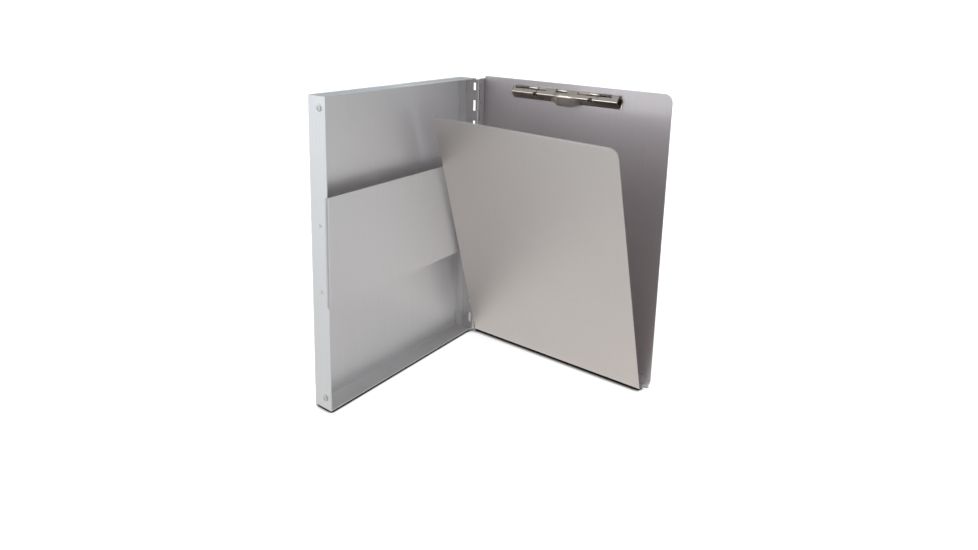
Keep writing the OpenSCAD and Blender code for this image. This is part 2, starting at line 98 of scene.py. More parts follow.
# %% Camera
VIEW_RIGHT = (0.593332, -0.804593, 0.024241)
VIEW_UP = (0.145117, 0.136538, 0.979948)
VIEW_BACK = (-0.791769, -0.577916, 0.197773)
VIEW_FROM = (-0.556128, -0.390525, 0.421627)

camera = bpy.data.objects.new("camera", bpy.data.cameras.new("camera"))
bpy.context.scene.collection.objects.link(camera)
aimed = Matrix((VIEW_RIGHT, VIEW_UP, VIEW_BACK)).transposed().to_4x4()
camera.matrix_world = Matrix.Translation(VIEW_FROM) @ aimed
camera.data.sensor_width = 36
camera.data.lens = 25.221
camera.data.shift_x = 0.0067
camera.data.shift_y = -0.138
camera.data.clip_start = 0.02
camera.data.clip_end = 100
bpy.context.scene.camera = camera
print("lens", round(camera.data.lens, 2), "mm, height", round(camera.location.z * 1000), "mm")

# %% [markdown]
# ## Small help with nodes
# Every finish below is built from shader nodes. Adding one always takes the same
# two steps, make it and set it up, so they get a short name of their own.

# %% Adding a shader node
def node_of(tree, kind, **values):
    """A new node of one kind, with its settings."""
    made = tree.nodes.new(kind)
    for key, value in values.items():
        setattr(made, key, value)
    return made


print("ready to build finishes in Blender", bpy.app.version_string)

# %% [markdown]
# ## The table
# The box stands on a white table. Where it touches there is one thin dark line and
# then a soft grey fade, because light can't get under a sheet edge. A real shadow
# needs a harder lamp than a soft studio has, so the table's own finish does it: the
# Ambient Occlusion node tells how closed in a point is, and a smooth ramp turns that
# into near black in the nook and white 9 mm away. The table lies 2.4 mm low, so that
# this line shows below the edges, and the metal doesn't mirror it, so the dark line
# stays out of the reflections.

# %% Table finish
NOOK = 0.009             # metres over which the shadow fades
TABLE_Z = -0.0024


def table_finish():
    """White card. The nook where something stands on it darkens over the last few millimetres."""
    mat = bpy.data.materials.new("white_table")
    mat.use_nodes = True
    tree = mat.node_tree
    shader = tree.nodes["Principled BSDF"]
    shader.inputs["Roughness"].default_value = 0.9
    shader.inputs["Specular IOR Level"].default_value = 0.1
    nook = node_of(tree, "ShaderNodeAmbientOcclusion")
    nook.inputs["Distance"].default_value = NOOK
    fade = node_of(tree, "ShaderNodeMapRange", interpolation_type="SMOOTHSTEP")
    fade.inputs["From Min"].default_value = 0.34
    fade.inputs["From Max"].default_value = 0.86
    fade.inputs["To Min"].default_value = 0.01
    fade.inputs["To Max"].default_value = 0.93
    tree.links.new(nook.outputs["AO"], fade.inputs["Value"])
    tree.links.new(fade.outputs["Result"], shader.inputs["Base Color"])
    return mat


card = table_finish()
print("table finish", card.name, "with", len(card.node_tree.nodes), "nodes")

# %% [markdown]
# ## Laying the table down
# The table is one big flat grid, wide enough that its rim is never seen.

# %% Table
bpy.ops.mesh.primitive_grid_add(x_subdivisions=8, y_subdivisions=8, size=30)
floor = bpy.context.object
floor.name = "floor"
floor.location.z = TABLE_Z
floor.visible_glossy = False
floor.data.materials.append(card)
print("table", [round(side, 1) for side in floor.dimensions], "m, at", round(floor.location.z, 4))

# %% [markdown]
# ## Studio light
# Bare metal is only as good as what it mirrors, so the studio is a light tent: a
# white surround with a few broad glows, like soft boxes behind cloth. Area lamps
# could stand there instead, but their outlines would show in the sheet. In the
# world's own nodes a glow is the angle to one direction, raised to a power: a low
# power spreads it over half the tent, a high one draws it together. Warm light
# comes up off the table, and the cooler glows come from the sides.

# %% Glows of the tent
GLOWS = [
    # the side it shines from, how tight it is, its strength
    ((0, 0, 1), 3, (0.57, 0.57, 0.57)),               # the roof of the tent
    ((0, 0, -1), 2, (0.96, 0.89, 0.84)),              # warm light off the table
    ((-0.60, 0.75, -0.3), 8, (0.76, 0.84, 0.87)),     # low, where the leaning plate looks
    ((0, -1, -0.1), 6, (1.07, 1.11, 1.14)),           # straight into the open tray
    ((0.7, 0.7, 0.2), 6, (0.66, 0.74, 0.77)),         # from behind the hinge
    ((-0.85, 0.45, 0.30), 10, (2.52, 2.56, 2.62)),    # the soft box that the free wall mirrors
]
print("glows", len(GLOWS), "brightest", max(max(strength) for _, _, strength in GLOWS))

# %% One glow
def glow_of(tree, coords, way, tight, strength):
    """Light that is full in one direction and fades with the angle away from it."""
    aim = node_of(tree, "ShaderNodeVectorMath", operation="DOT_PRODUCT")
    aim.inputs[1].default_value = Vector(way).normalized()
    tree.links.new(coords, aim.inputs[0])
    front = node_of(tree, "ShaderNodeMath", operation="MAXIMUM")
    front.inputs[1].default_value = 0
    tree.links.new(aim.outputs["Value"], front.inputs[0])
    soft = node_of(tree, "ShaderNodeMath", operation="POWER")
    soft.inputs[1].default_value = tight
    tree.links.new(front.outputs[0], soft.inputs[0])
    glow = node_of(tree, "ShaderNodeVectorMath", operation="SCALE")
    glow.inputs[0].default_value = strength
    tree.links.new(soft.outputs[0], glow.inputs["Scale"])
    return glow.outputs[0]


for way, tight, _ in GLOWS:
    half = math.degrees(math.acos(0.5 ** (1 / tight)))
    print("glow towards", way, "falls to half at", round(half), "degrees")

# %% [markdown]
# ## The whole tent
# Light adds up, so the glows are simply summed, one Add node after another, and the
# sum is the tent's colour in every direction. Behind the box stands plain white
# paper. It would wash the metal out if the metal mirrored it, so the Light Path
# node shows the paper to the camera alone and the tent to everything else.

# %% Light tent
def light_tent(glows):
    """A world that glows softly in a few directions, and is plain white behind the box."""
    world = bpy.data.worlds.new("studio")
    world.use_nodes = True
    tree = world.node_tree
    link = tree.links.new
    coords = node_of(tree, "ShaderNodeTexCoord").outputs["Generated"]
    total = glow_of(tree, coords, *glows[0])
    for glow in glows[1:]:
        both = node_of(tree, "ShaderNodeVectorMath", operation="ADD")
        link(total, both.inputs[0])
        link(glow_of(tree, coords, *glow), both.inputs[1])
        total = both.outputs[0]
    tent = tree.nodes["Background"]
    link(total, tent.inputs["Color"])
    paper = node_of(tree, "ShaderNodeBackground")
    paper.inputs["Color"].default_value = (1, 1, 1, 1)
    paper.inputs["Strength"].default_value = 1.1
    seen = node_of(tree, "ShaderNodeLightPath")
    pick = node_of(tree, "ShaderNodeMixShader")
    link(seen.outputs["Is Camera Ray"], pick.inputs[0])
    link(tent.outputs[0], pick.inputs[1])
    link(paper.outputs[0], pick.inputs[2])
    link(pick.outputs[0], tree.nodes["World Output"].inputs["Surface"])
    return world


bpy.context.scene.world = light_tent(GLOWS)
print("tent nodes", len(bpy.context.scene.world.node_tree.nodes))

# %% [markdown]
# ## A lamp for the table
# The tent alone leaves the table flat, so one soft sun shines over the viewer's
# shoulder. Brushed metal would show it as a hard streak, so it skips mirrored
# paths, and in effect only the table takes it. An area lamp would do as well, but
# a sun gives every part of the table the same light, however far it reaches.

# %% Table light
def table_light(strength, spread, tilt):
    """Soft light from over the viewer's shoulder, `tilt` degrees off the upright."""
    light = bpy.data.lights.new("table_light", "SUN")
    light.energy = strength
    light.angle = math.radians(spread)
    lamp = bpy.data.objects.new("table_light", light)
    bpy.context.scene.collection.objects.link(lamp)
    lean = math.sin(math.radians(tilt))
    aim = Vector((VIEW_BACK[0] * lean, VIEW_BACK[1] * lean, math.cos(math.radians(tilt))))
    lamp.rotation_euler = aim.to_track_quat("Z", "Y").to_euler()
    lamp.visible_glossy = False
    return lamp


lamp = table_light(strength=3.2, spread=16, tilt=26)
print("lamp", lamp.name, "strength", round(lamp.data.energy, 2))

# %% [markdown]
# ## Bounces and tones
# The box is a nest of sheets that mirror one another. Light goes to and fro between
# the plate and the cover many times, and each time it is cut short the pocket turns
# blacker than it should, so more glossy bounces are allowed than usual. The plain
# Standard view keeps white paper white, where a filmic one would turn it grey.

# %% Bounces and tones
bpy.context.scene.view_settings.view_transform = "Standard"
bpy.context.scene.cycles.glossy_bounces = 16
bpy.context.scene.cycles.max_bounces = 24
print("glossy bounces", bpy.context.scene.cycles.glossy_bounces)

# %% [markdown]
# ## Grain of rolled sheet
# Rolled sheet carries hairlines from the mill, all running the same way up the
# box. A painted texture could show them, but noise keeps its detail at any size.
# The trick is to squeeze the coordinates before the noise reads them: thousands of
# lines to the metre across, only a few changes along. On level folds the lines run
# front to back, so the node for the normal picks which way to squeeze.

# %% Grain
HAIR = 2600              # hairlines to the metre, across the grain
STREAK = 380             # broader roller streaks
ALONG = 14               # how slowly both change along the grain


def grain_field(tree, coords, across):
    """Noise drawn out along the sheet: up the walls, and back to front on level folds."""
    link = tree.links.new
    facing = node_of(tree, "ShaderNodeSeparateXYZ")
    link(node_of(tree, "ShaderNodeNewGeometry").outputs["True Normal"], facing.inputs[0])
    upward = node_of(tree, "ShaderNodeMath", operation="ABSOLUTE")
    link(facing.outputs["Z"], upward.inputs[0])
    level = node_of(tree, "ShaderNodeMath", operation="GREATER_THAN")
    level.inputs[1].default_value = 0.7
    link(upward.outputs[0], level.inputs[0])
    pick = node_of(tree, "ShaderNodeMix", data_type="VECTOR")
    pick.inputs["A"].default_value = (across, across, ALONG)
    pick.inputs["B"].default_value = (across, ALONG, ALONG)
    link(level.outputs[0], pick.inputs["Factor"])
    drawn = node_of(tree, "ShaderNodeVectorMath", operation="MULTIPLY")
    link(coords, drawn.inputs[0])
    link(pick.outputs["Result"], drawn.inputs[1])
    noise = node_of(tree, "ShaderNodeTexNoise")
    noise.inputs["Scale"].default_value = 1.0
    noise.inputs["Detail"].default_value = 3.0
    link(drawn.outputs[0], noise.inputs["Vector"])
    return noise.outputs["Fac"]


print("hairlines every", round(1000 / HAIR, 2), "mm, streaks every", round(1000 / STREAK, 1), "mm")

# %% [markdown]
# ## Tone of the hairlines
# Hairlines show because each one takes the light a little differently. Two noises,
# fine hairs and broad streaks, are brought to numbers close to 1 and multiplied,
# and their product lightens or darkens the metal's colour by a few percent. A
# colour ramp could do the same, but its two ends would have to be mixed again for
# each metal, where one factor works on any colour.

# %% Hairline tone
def between(tree, value, low, high):
    """Stretches a noise, which mostly keeps to 0.25 to 0.75, to run between two values."""
    spread = node_of(tree, "ShaderNodeMapRange")
    spread.inputs["From Min"].default_value = 0.25
    spread.inputs["From Max"].default_value = 0.75
    spread.inputs["To Min"].default_value = low
    spread.inputs["To Max"].default_value = high
    tree.links.new(value, spread.inputs["Value"])
    return spread.outputs["Result"]


def hairline_tone(tree, colour, hairs, streaks, mottle):
    """The colour, varied by the share `mottle` along hairs and a fifth of that along streaks."""
    both = node_of(tree, "ShaderNodeMath", operation="MULTIPLY")
    tree.links.new(between(tree, hairs, 1 - mottle, 1 + mottle), both.inputs[0])
    tree.links.new(between(tree, streaks, 1 - mottle / 5, 1 + mottle / 5), both.inputs[1])
    paint = node_of(tree, "ShaderNodeVectorMath", operation="SCALE")
    paint.inputs[0].default_value = colour
    tree.links.new(both.outputs[0], paint.inputs["Scale"])
    return paint.outputs["Vector"]


MOTTLE = 0.035
print("hairlines vary the tone by", round(MOTTLE * 100, 1), "percent each way")

# %% [markdown]
# ## Brushed aluminium
# Brushed sheet does two things at once: most of its light spreads into a wide haze,
# and a smaller part stays together as a faint mirror. One shader has one roughness
# and can't do both, so two metal shaders with the same colour and bumps are mixed.
# Both stretch their highlights across the grain, and the Tangent node tells them
# which way that is. A circle round the upright axis does for flat walls. The
# writing sheet leans through that axis, where the circle swirls, so it carries its
# own map instead and the highlight stays even.
#
# Slow clouds vary the roughness, since no hand or mill polishes evenly, and the
# hairs stand up as a very low bump.

# %% Brushed finish
def brushed(name, colour, haze, mirror, stored=None, mottle=MOTTLE, stretch=0.6, share=0.3):
    """Sheet metal with upright hairlines. `stored` names the points a bending sheet carries."""
    mat = bpy.data.materials.new(name)
    mat.use_nodes = True
    tree = mat.node_tree
    link = tree.links.new
    wide = tree.nodes["Principled BSDF"]
    tight = node_of(tree, "ShaderNodeBsdfPrincipled")
    mixed = node_of(tree, "ShaderNodeMixShader")
    mixed.inputs["Fac"].default_value = share
    link(wide.outputs[0], mixed.inputs[1])
    link(tight.outputs[0], mixed.inputs[2])
    link(mixed.outputs[0], tree.nodes["Material Output"].inputs["Surface"])
    if stored:
        coords = node_of(tree, "ShaderNodeAttribute", attribute_name=stored).outputs["Vector"]
        around = node_of(tree, "ShaderNodeTangent", direction_type="UV_MAP", uv_map="across")
    else:
        coords = node_of(tree, "ShaderNodeTexCoord").outputs["Object"]
        around = node_of(tree, "ShaderNodeTangent", direction_type="RADIAL", axis="Z")
    hairs = grain_field(tree, coords, HAIR)
    streaks = grain_field(tree, coords, STREAK)
    paint = hairline_tone(tree, colour, hairs, streaks, mottle)
    cloud = node_of(tree, "ShaderNodeTexNoise")
    cloud.inputs["Scale"].default_value = 18.0
    cloud.inputs["Detail"].default_value = 5.0
    link(coords, cloud.inputs["Vector"])
    bump = node_of(tree, "ShaderNodeBump")
    bump.inputs["Strength"].default_value = 0.03
    bump.inputs["Distance"].default_value = 0.0002
    link(hairs, bump.inputs["Height"])
    for shader, roughness in ((wide, haze), (tight, mirror)):
        shader.inputs["Metallic"].default_value = 1.0
        shader.inputs["Anisotropic"].default_value = stretch
        link(around.outputs[0], shader.inputs["Tangent"])
        link(paint, shader.inputs["Base Color"])
        link(bump.outputs["Normal"], shader.inputs["Normal"])
        link(between(tree, cloud.outputs["Fac"], roughness - 0.02, roughness + 0.02),
             shader.inputs["Roughness"])
    return mat


aluminium = brushed("brushed_aluminium", (0.955, 0.945, 0.95), 0.60, 0.30, share=0.2)
# the cover's colour is the tray's aluminium made darker and more purple: painted shade for the
# pocket behind the plate
shaded_cover_metal = brushed("shaded_cover_aluminium", (0.82, 0.775, 0.795), 0.60, 0.22, share=0.25)
sheet_metal = brushed("plate_metal", (0.88, 0.86, 0.85), 0.62, 0.36, stored="grain", share=0.2)
hinge_metal = brushed("hinge_metal", (0.80, 0.78, 0.78), 0.50, 0.25, mottle=0.12)
print("brushed", [m.name for m in (aluminium, shaded_cover_metal, sheet_metal, hinge_metal)])

# %% [markdown]
# ## Plated and drawn metal
# The clip is nickel plated, the rod and springs are drawn wire and the rivets are
# tumbled. All are smoother than the sheet, but never a perfect mirror: plating
# follows the ripples of the pressing beneath, and handling dulls it in patches.
# One broad noise does both, as bump and as roughness, and a finer one specks the
# colour. The nickel is a little warm beside the aluminium, and the wire is darker.

# %% Polished finish
def polished(name, colour, roughness):
    """Plated or drawn metal: close to a mirror, with soft ripples and worn, duller patches."""
    mat = bpy.data.materials.new(name)
    mat.use_nodes = True
    tree = mat.node_tree
    link = tree.links.new
    shader = tree.nodes["Principled BSDF"]
    shader.inputs["Metallic"].default_value = 1.0
    coords = node_of(tree, "ShaderNodeTexCoord").outputs["Object"]
    wave = node_of(tree, "ShaderNodeTexNoise")
    wave.inputs["Scale"].default_value = 220
    wave.inputs["Detail"].default_value = 2.0
    link(coords, wave.inputs["Vector"])
    speck = node_of(tree, "ShaderNodeTexNoise")
    speck.inputs["Scale"].default_value = 1320
    speck.inputs["Detail"].default_value = 4.0
    link(coords, speck.inputs["Vector"])
    paint = node_of(tree, "ShaderNodeVectorMath", operation="SCALE")
    paint.inputs[0].default_value = colour
    link(between(tree, speck.outputs["Fac"], 0.94, 1.06), paint.inputs["Scale"])
    link(paint.outputs["Vector"], shader.inputs["Base Color"])
    link(between(tree, wave.outputs["Fac"], roughness * 0.7, roughness * 1.4),
         shader.inputs["Roughness"])
    bump = node_of(tree, "ShaderNodeBump")
    bump.inputs["Strength"].default_value = 0.02
    bump.inputs["Distance"].default_value = 0.0005
    link(wave.outputs["Fac"], bump.inputs["Height"])
    link(bump.outputs["Normal"], shader.inputs["Normal"])
    return mat


rivet_metal = polished("rivet_metal", (0.62, 0.61, 0.59), 0.40)
nickel = polished("bright_nickel", (0.66, 0.61, 0.55), 0.10)
steel = polished("steel_wire", (0.36, 0.33, 0.31), 0.25)
print("polished", [m.name for m in (rivet_metal, nickel, steel)])

# %% [markdown]
# ## Dressing the frame's own pieces
# Pieces whose shape is already right keep their meshes and only take a finish. The
# cover's sheet is a darker, more purple copy of the tray's aluminium. That is painted
# shade, so that the pocket behind the plate goes dark.

# %% Finishes on the frame
FINISHES = {
    aluminium: ["tray_pan", "retaining_strap"],
    shaded_cover_metal: ["cover_panel"],
    hinge_metal: ["hinge_leaf_tray", "hinge_leaf_cover"],
    rivet_metal: ["strap_rivets", "hinge_rivets_tray", "hinge_rivets_cover", "foot_rivets",
                  "tray_corner_rivets"],
    nickel: ["clip_base", "clip_rivets"],
    steel: ["hinge_pin", "clip_rod"],
}
for finish, names in FINISHES.items():
    for name in names:
        data = nodes[name].data
        data.materials.clear()
        data.materials.append(finish)
print("finished", sum(len(names) for names in FINISHES.values()), "nodes")

# %% [markdown]
# ## Sheet with rounded folds
# Every part here is bent from flat sheet, and a press brake never leaves a knife
# edge, so each fold has a radius. A path is given by its corners, as on a shop
# drawing, and each inner corner becomes an arc. Bezier curves would round them
# too, but an arc keeps the radius that the brake's tool has.

# %% Rounded folds
def rounded_path(points, radius, arc_steps=8, run_steps=6):
    """A flat path through points whose inner corners are arcs. Steps may differ by stretch."""
    points = [Vector(p) for p in points]
    runs = [run_steps] * (len(points) - 1) if isinstance(run_steps, int) else run_steps
    path = []
    start = points[0]
    for k in range(1, len(points) - 1):
        before = (points[k - 1] - points[k]).normalized()
        after = (points[k + 1] - points[k]).normalized()
        half = before.angle(after) / 2
        reach = radius / math.tan(half)
        first = points[k] + before * reach
        last = points[k] + after * reach
        centre = points[k] + (before + after).normalized() * (radius / math.sin(half))
        path += [start.lerp(first, i / runs[k - 1]) for i in range(runs[k - 1])]
        for i in range(arc_steps):
            path.append(centre + (first - centre).slerp(last - centre, i / arc_steps))
        start = last
    path += [start.lerp(points[-1], i / runs[-1]) for i in range(runs[-1] + 1)]
    return path


print("one square fold takes", len(rounded_path([(0, 0), (9, 0), (9, 9)], radius=2)), "points")

# %% [markdown]
# ## Points at even steps
# Two sections can only be blended into one another point by point when both have as
# many points and spread them alike. So a finished path can be walked again in
# equal steps, with straight-line interpolation along its length.

# %% Even steps
def resampled(path, count):
    """The same path with its points spread evenly."""
    steps = [0.0]
    for a, b in zip(path, path[1:]):
        steps.append(steps[-1] + (b - a).length)
    even = np.linspace(0, steps[-1], count)
    xs = np.interp(even, steps, [p[0] for p in path])
    ys = np.interp(even, steps, [p[1] for p in path])
    return [Vector(place) for place in zip(xs, ys)]


corner_steps = resampled([Vector((0, 0)), Vector((9, 0)), Vector((9, 9))], 7)
print("even steps of", round((corner_steps[1] - corner_steps[0]).length, 2), "mm")

# %% [markdown]
# ## From a mesh to an object
# Whatever is built point by point ends the same way: it becomes a mesh, is shaded
# smooth but for its real folds, and takes its finish. A modifier could find the
# folds too, but here they are marked in the mesh itself, so nothing has to be
# worked out again when the mesh is exported.

# %% Finished object
def object_from(made, name, finish, crease):
    """The worked-up mesh as an object. Folds sharper than `crease` degrees stay crisp."""
    mesh = bpy.data.meshes.new(name)
    made.to_mesh(mesh)
    made.free()
    mesh.shade_smooth()
    mesh.set_sharp_from_angle(angle=math.radians(crease))
    mesh.materials.append(finish)
    body = bpy.data.objects.new(name, mesh)
    bpy.context.scene.collection.objects.link(body)
    return body


SHEET_CREASE = 35
print("sheet keeps folds over", SHEET_CREASE, "degrees crisp")

# %% [markdown]
# ## Giving the sheet its thickness
# The middle surface is a grid of points. Half the thickness goes to each side
# along the surface's own outward direction, and then every open rim is closed. A
# Solidify modifier could thicken it, but the holes would come after that as cuts.
# Here a cell that is left out of the grid is a slot or a hole at once, which keeps
# the mesh clean.

# %% Sheet shell
def sheet_shell(grid, thick, keep):
    """Both faces of the sheet and its rims. keep[row][column] false leaves a cell open."""
    rows, cols = grid.shape[:2]
    out = np.cross(np.gradient(grid, axis=0), np.gradient(grid, axis=1))
    out /= np.linalg.norm(out, axis=2, keepdims=True)
    layers = np.concatenate([grid + out * thick / 2, grid - out * thick / 2])
    made = bmesh.new()
    points = [made.verts.new(p) for p in layers.reshape(-1, 3)]
    front = np.arange(rows * cols).reshape(rows, cols)
    back = front + rows * cols
    for i, j in zip(*np.nonzero(keep)):
        ring = [(i, j), (i + 1, j), (i + 1, j + 1), (i, j + 1)]
        made.faces.new([points[front[c]] for c in ring])
        made.faces.new([points[back[c]] for c in reversed(ring)])
        beside = [(i, j - 1), (i + 1, j), (i, j + 1), (i - 1, j)]
        for k, (a, b) in enumerate(beside):
            if 0 <= a < rows - 1 and 0 <= b < cols - 1 and keep[a, b]:
                continue
            here = ring[k]
            after = ring[(k + 1) % 4]
            rim = [front[after], front[here], back[here], back[after]]
            made.faces.new([points[v] for v in rim])
    bmesh.ops.delete(made, geom=[v for v in made.verts if not v.link_faces], context="VERTS")
    bmesh.ops.recalc_face_normals(made, faces=made.faces)
    return made


trial = sheet_shell(np.array([[(i, j, 0.0) for j in range(3)] for i in range(3)]), 0.1,
                    np.ones((2, 2), bool))
print("a trial sheet of four cells closes with", len(trial.faces), "faces")
trial.free()

# %% [markdown]
# ## Breaking the cut edges
# Shears and punches leave square edges. A bevel on just those edges, found by their
# angle, gives each rim a narrow facet that catches the light. It is made in the
# mesh and not as a modifier, because these pieces are new and nothing else needs
# their square shape.

# %% Bent sheet
SHEET_EDGE = 0.00012     # width of that facet, in metres


def bent_sheet(name, grid, thick, finish, keep=None, edge=SHEET_EDGE):
    """Sheet whose middle follows grid[row][column], with its cut edges broken by `edge` metres."""
    grid = np.asarray(grid, float)
    if keep is None:
        keep = np.ones((grid.shape[0] - 1, grid.shape[1] - 1), bool)
    made = sheet_shell(grid, thick, keep)
    sharp = [e for e in made.edges
             if len(e.link_faces) == 2 and e.calc_face_angle() > math.radians(60)]
    bmesh.ops.bevel(made, geom=sharp, offset=edge, segments=2, profile=0.5,
                    affect="EDGES", clamp_overlap=True)
    return object_from(made, name, finish, SHEET_CREASE)


print("cut edges broken by", round(SHEET_EDGE * 1000, 2), "mm")

# %% [markdown]
# ## The writing sheet
# On the real box the writing plate and its foot are one strip of springy sheet: a
# flange riveted to the cover, a narrow web on the table and then the long plate,
# which leans out of its fold and flexes when a pad is pushed behind it. Two hinged
# slabs would show a gap there, so one sheet covers both, bent through the fold.
# The far corner leans a little more than the near one, as a springy plate held by
# its foot does.

# %% Writing sheet: sizes
foot_low, foot_high = (mm(c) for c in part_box("plate_foot"))
plate_low, plate_high = (mm(c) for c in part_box("writing_plate"))
near_u = -plate_high[1]
far_u = -plate_low[1]
SHEET_T = 0.84
FOLD_X = 3.7             # where the plate leaves the web
PLATE_L = 306.4
FOLD_R = 1.1
NEAR_LEAN = 17.0
FAR_LEAN = 18.5
INSET = 0.03             # keeps the sheet just inside the frame's own outline
print("writing sheet", round(far_u - near_u, 1), "mm wide,", PLATE_L, "mm long")

# %% [markdown]
# ## Its round head corners
# A blanking tool rounds both head corners, the far one widely. A sheet that is
# swept in columns gets that shape by ending each column a little lower towards the
# corner. The columns are set by equal turns of the arc, so they crowd where the
# corner is steep and the rim stays smooth without thousands of needless faces.

# %% Head corners
NEAR_CORNER = 3.0
FAR_CORNER = 9.5


def corner_drop(u):
    """How far the rounded head corners pull the top edge down at u."""
    drop = 0.0
    for radius, gap in ((NEAR_CORNER, u - near_u), (FAR_CORNER, far_u - u)):
        if gap < radius:
            drop = radius - math.sqrt(max(radius ** 2 - (radius - gap) ** 2, 0))
    return drop


def writing_columns():
    """Places across the plate, crowded where the corners turn."""
    turn = [1 - math.cos(math.radians(a)) for a in range(0, 91, 6)]
    near = [near_u + NEAR_CORNER * c for c in turn]
    far = [far_u - FAR_CORNER * c for c in reversed(turn)]
    return near + list(np.linspace(near[-1], far[0], 42)[1:-1]) + far


print("columns", len(writing_columns()), "drop at the far edge", round(corner_drop(far_u), 2), "mm")

# %% [markdown]
# ## Bending the sheet up
# Now every column is one bent line: down the flange, along the web, round the fold
# and up the plate. The lean changes a little from column to column, and this gives
# the faint twist of a springy sheet without any sculpting.

# %% Writing sheet
def writing_sheet():
    """The foot's flange, the web and the leaning plate as one sheet."""
    web_z = SHEET_T / 2 + INSET
    wall_x = foot_high[0] - SHEET_T / 2 - INSET
    lines = []
    for u in writing_columns():
        lean = math.radians(NEAR_LEAN + (FAR_LEAN - NEAR_LEAN) * (u - near_u) / (far_u - near_u))
        length = PLATE_L - corner_drop(u)
        head = (FOLD_X - length * math.sin(lean), web_z + length * math.cos(lean))
        path = rounded_path([(wall_x, foot_high[2]), (wall_x, web_z), (FOLD_X, web_z), head],
                            radius=FOLD_R, run_steps=[5, 4, 60])
        lines.append([at(x, -u, z) for x, z in path])
    grid = np.array(lines).transpose(1, 0, 2)
    return bent_sheet("writing_sheet", grid, SHEET_T / 1000, sheet_metal)


writing = writing_sheet()
print("writing sheet", len(writing.data.polygons), "faces, head at",
      round(max(v.co.z for v in writing.data.vertices) * 1000, 1), "mm")

# %% [markdown]
# ## Grain that bends with the sheet
# The brushing belongs to the metal, so it has to travel with the sheet when it
# flexes. Object coordinates would slide over it. So each point keeps the place
# where it was made, which the hairlines read, and a small map tells the finish
# which way is across the grain.

# %% Grain and bend
MAP_SCALE = 3            # map units to the metre. Only the map's direction matters
grain = writing.data.attributes.new("grain", "FLOAT_VECTOR", "POINT")
grain.data.foreach_set("vector", np.array([v.co for v in writing.data.vertices]).ravel())
across = writing.data.uv_layers.new(name="across")
for corner in writing.data.loops:
    x, y, z = writing.data.vertices[corner.vertex_index].co
    across.data[corner.index].uv = (y * MAP_SCALE, (z - x) * MAP_SCALE)
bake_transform(writing)
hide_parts("writing_plate", "plate_foot")
print("grain stored on", len(grain.data), "points")

# %% [markdown]
# ## The clip's jaw: its section
# The jaw is nickelled sheet. Short curls ride on the rod, a slope runs from them to
# a ridge, and there the sheet folds back to the gripping lip. A press shop draws
# that section once and bends the whole strip to it, and so does the lesson: one
# line in the clip's own plane, with n standing out from the cover and z up. A solid
# with the slots cut out would give the same outline, but not one even gauge of
# metal. The thumb tab is the same sheet pressed out further, so it gets a second
# line that starts on the same slope.

# %% Jaw: sizes
jaw_low, jaw_high = (mm(c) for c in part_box("clip_jaw"))
rod_low, rod_high = (mm(c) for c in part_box("clip_rod"))
jaw_near = -jaw_high[1]
jaw_far = -jaw_low[1]
ROD = Vector((COVER_FACE - (rod_low[0] + rod_high[0]) / 2, (rod_low[2] + rod_high[2]) / 2))
CLIP_T = 0.8
CURL_R = 1.75
CURL_TURN = 290          # degrees that a curl reaches round the rod
RIDGE = Vector((8.4, 318.7))
LIP = Vector((1.95, 310.9))
SLOT_EDGE = 5.1          # slots run from the curls out to here
TAB_PATH = [(9.5, 320.4), (10.0, 318.4), (7.9, 308.1)]
CURL_ROWS = 22
FACE_ROWS = 64
print("jaw", round(jaw_far - jaw_near, 1), "mm long, rod at", [round(v, 2) for v in ROD])

# %% Jaw: section
def turned_by(v, degrees):
    """A flat vector turned anticlockwise."""
    a = math.radians(degrees)
    return Vector((v.x * math.cos(a) - v.y * math.sin(a), v.x * math.sin(a) + v.y * math.cos(a)))


def jaw_section():
    """Middle lines in (n, z): curls and slope, down the plain face, and down the thumb tab."""
    to_rod = ROD - RIDGE
    slope = turned_by(to_rod, -math.degrees(math.asin(CURL_R / to_rod.length))).normalized()
    outward = turned_by(slope, -90)
    fold_back = (LIP - RIDGE).normalized()
    inward = turned_by(fold_back, -90) * (CLIP_T / 2)
    touch = ROD + outward * (CURL_R - CLIP_T / 2)
    ridge = RIDGE + (inward - outward * (CLIP_T / 2)) / (1 + inward.normalized().dot(-outward))
    first = math.degrees(math.atan2(outward.y, outward.x))
    spoke = Vector((CURL_R - CLIP_T / 2, 0))
    curl = [ROD + turned_by(spoke, first + CURL_TURN * (1 - i / CURL_ROWS))
            for i in range(CURL_ROWS + 1)]
    slot_z = touch.y + (ridge.y - touch.y) * (SLOT_EDGE - touch.x) / (ridge.x - touch.x)
    slot = Vector((SLOT_EDGE, slot_z))
    neck = [curl[-1].lerp(slot, i / 4) for i in range(1, 4)]
    face = resampled(rounded_path([slot, ridge, LIP + inward], radius=0.7), FACE_ROWS + 1)
    tab = resampled(rounded_path([slot] + TAB_PATH, radius=1.0), FACE_ROWS + 1)
    return curl + neck, face, tab


root, face, tab = jaw_section()
print("section rows", len(root), "+", len(face), "and its tab ends at z", round(tab[-1].y, 1))

# %% [markdown]
# ## The thumb tab
# The tab is where the thumb pulls. The press draws it out of the middle of the jaw
# with soft shoulders, narrow at its head and wide at its toe, and stamps a small
# diamond knurl on it so that the thumb doesn't slip. The shoulders are an easing
# curve between the two sections, and the knurl is two crossed waves added to the
# height, real relief and not a bump, so it shows in profile too.

# %% Thumb tab and knurl
TAB_MID = 119.0
TAB_HEAD = 1.5           # half its flat width at the head
TAB_SPREAD = 6.0         # how much wider it gets lower down
TAB_FLARE = 13.0         # width of each soft shoulder
KNURL_Z = 315.2
KNURL_HALF_W = 6.5
KNURL_HALF_H = 5.0
KNURL_PITCH = 2.3
KNURL_RISE = 0.22


def ease(x):
    """0 to 1 with a soft start and a soft end."""
    x = min(max(x, 0.0), 1.0)
    return x * x * (3 - 2 * x)


